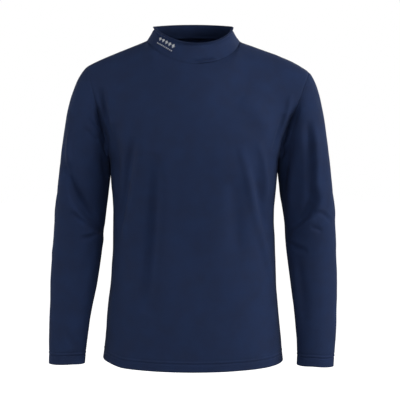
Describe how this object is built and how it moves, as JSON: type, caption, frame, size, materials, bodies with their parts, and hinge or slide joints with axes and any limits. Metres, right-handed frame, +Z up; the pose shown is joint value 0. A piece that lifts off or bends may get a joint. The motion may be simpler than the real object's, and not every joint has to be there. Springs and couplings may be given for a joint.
{
  "type": "long-sleeved mock-neck uniform top",
  "caption": "Navy knitted uniform top, hollow and filled out as when worn, with a standing doubled collar, set-in long sleeves and turned hem and cuffs",
  "frame": {"origin": "between the two points where the shoulder seams meet the collar, where the wearer's shoulders carry the top", "axes": "+Z is up, along the wearer's body; the wearer faces -Y; +X points to the wearer's left"},
  "size_m": [0.609, 0.2442, 0.7152],
  "materials": {
    "front_jersey": "matt knitted jersey",
    "back_jersey": "matt knitted jersey",
    "sleeve_right_jersey": "matt knitted jersey",
    "sleeve_left_jersey": "matt knitted jersey",
    "collar_jersey": "matt knitted jersey"
  },
  "bodies": {
    "root": {"front": "front_jersey", "back": "back_jersey", "sleeve_right": "sleeve_right_jersey", "sleeve_left": "sleeve_left_jersey", "collar": "collar_jersey"}
  },
  "joints": []
}
